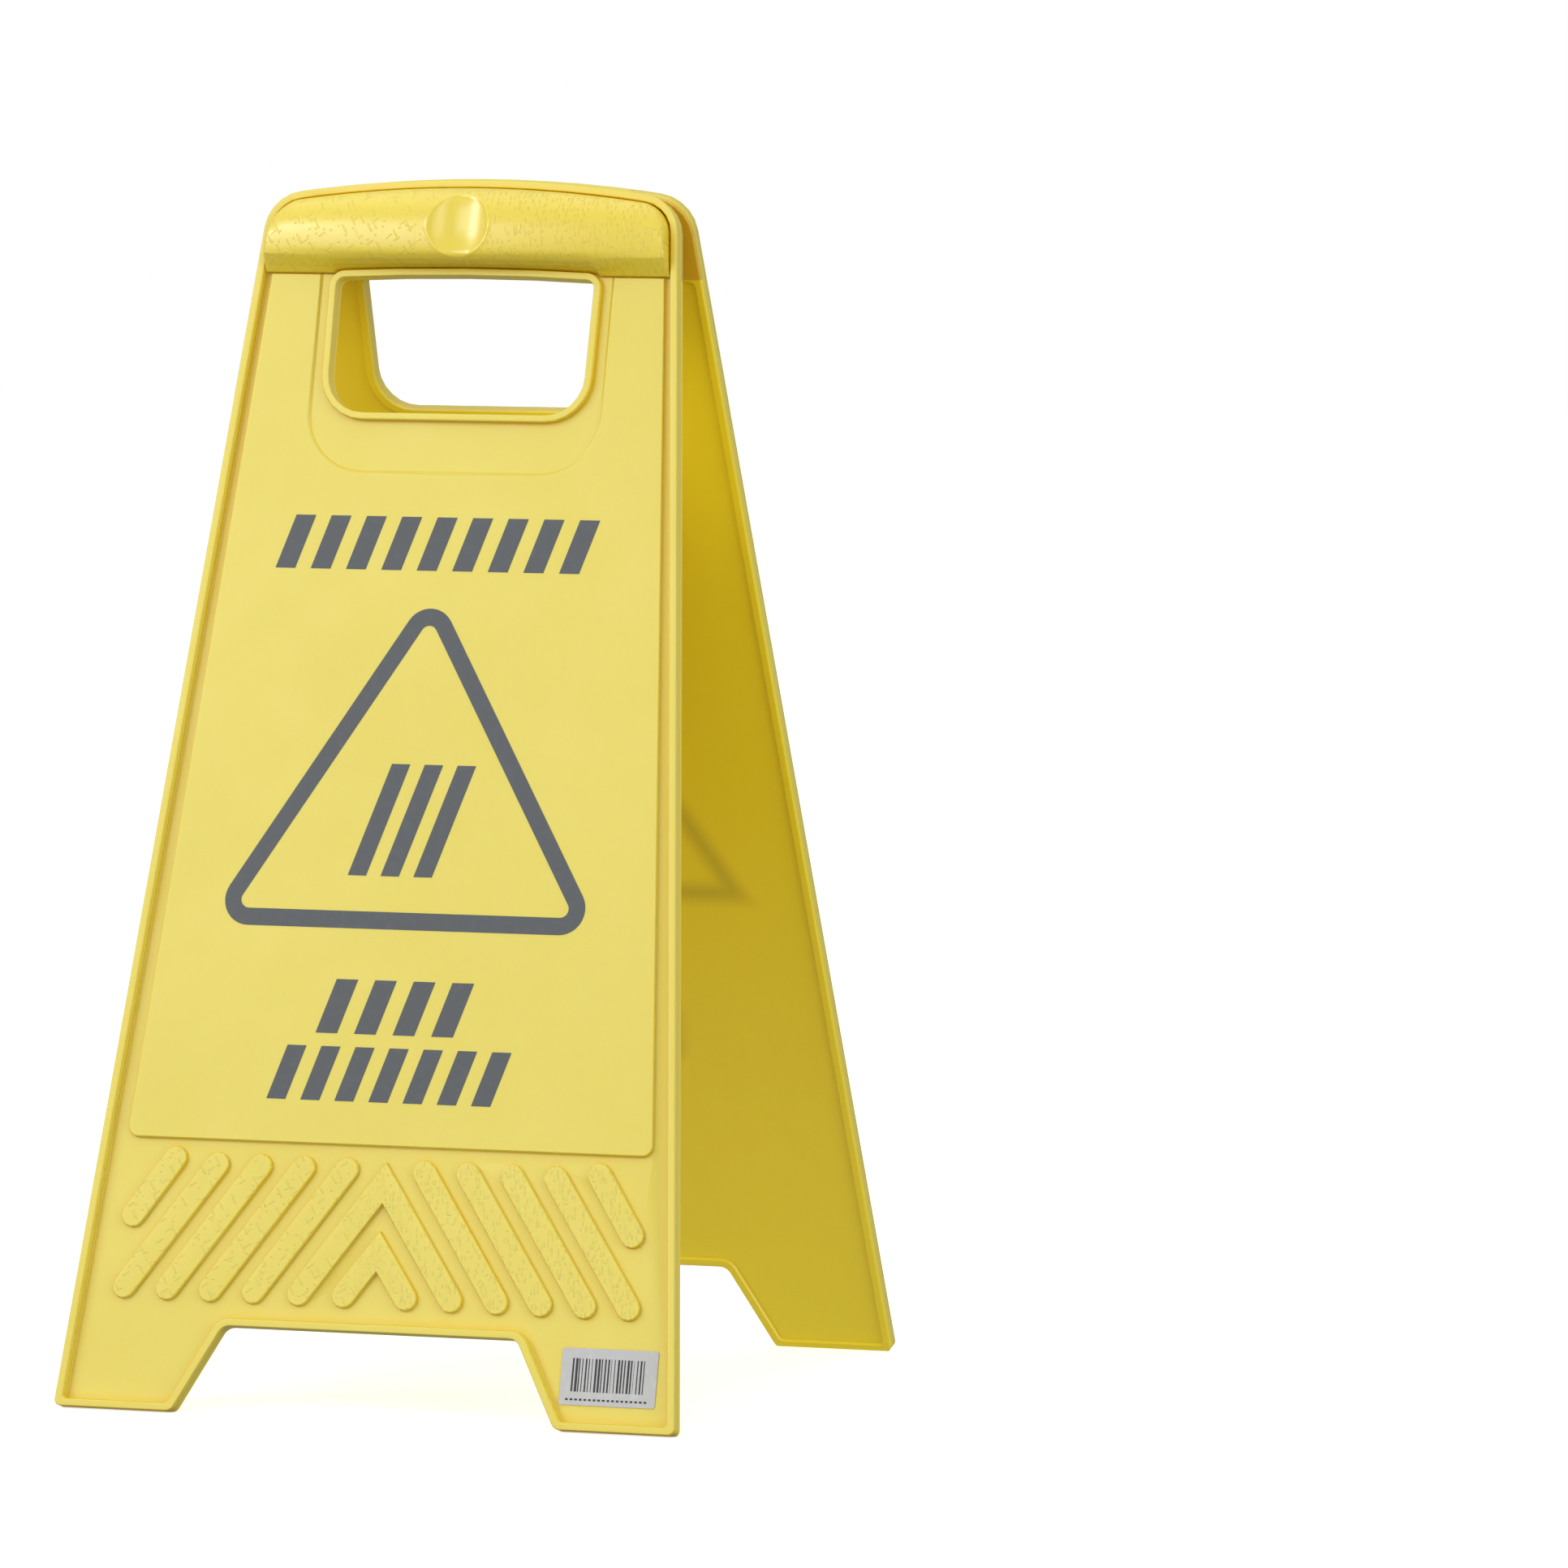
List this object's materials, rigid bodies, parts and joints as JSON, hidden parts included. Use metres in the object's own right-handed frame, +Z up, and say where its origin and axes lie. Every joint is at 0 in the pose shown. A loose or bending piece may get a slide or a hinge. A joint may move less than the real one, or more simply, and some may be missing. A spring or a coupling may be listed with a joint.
{
  "type": "folding floor sign",
  "caption": "Free-standing folding floor sign: two ribbed plastic panels with hand holes and bulged grips, hinged at the top so that they open into a tent or fold flat.",
  "frame": {"origin": "on the floor, midway between the four feet, under the hinge", "axes": "+Z up, X along the hinge axis, the front panel's face looks towards -Y"},
  "size_m": [0.2994, 0.314, 0.5558],
  "materials": {
    "panel_plastic": "moulded satin yellow polypropylene, slightly translucent",
    "grip_plastic": "textured yellow plastic, semi-gloss",
    "zinc_steel": "zinc-plated steel",
    "label_film": "printed adhesive label, satin"
  },
  "bodies": {
    "front": {"front_panel": "panel_plastic", "front_grip": "grip_plastic", "front_grip_screw_1": "zinc_steel", "front_grip_screw_2": "zinc_steel", "front_grip_screw_3": "zinc_steel", "front_grip_screw_4": "zinc_steel", "left_hinge_pin": "zinc_steel", "right_hinge_pin": "zinc_steel", "left_push_nut": "zinc_steel", "right_push_nut": "zinc_steel", "stock_label": "label_film"},
    "back": {"back_panel": "panel_plastic", "back_grip": "grip_plastic", "back_grip_screw_1": "zinc_steel", "back_grip_screw_2": "zinc_steel", "back_grip_screw_3": "zinc_steel", "back_grip_screw_4": "zinc_steel"}
  },
  "joints": [
    {"name": "panel_hinge", "type": "hinge", "parent": "front", "child": "back", "pos_m": [0, 0, 0.53499], "axis": [-1, 0, 0], "range_deg": [0, 30]}
  ]
}
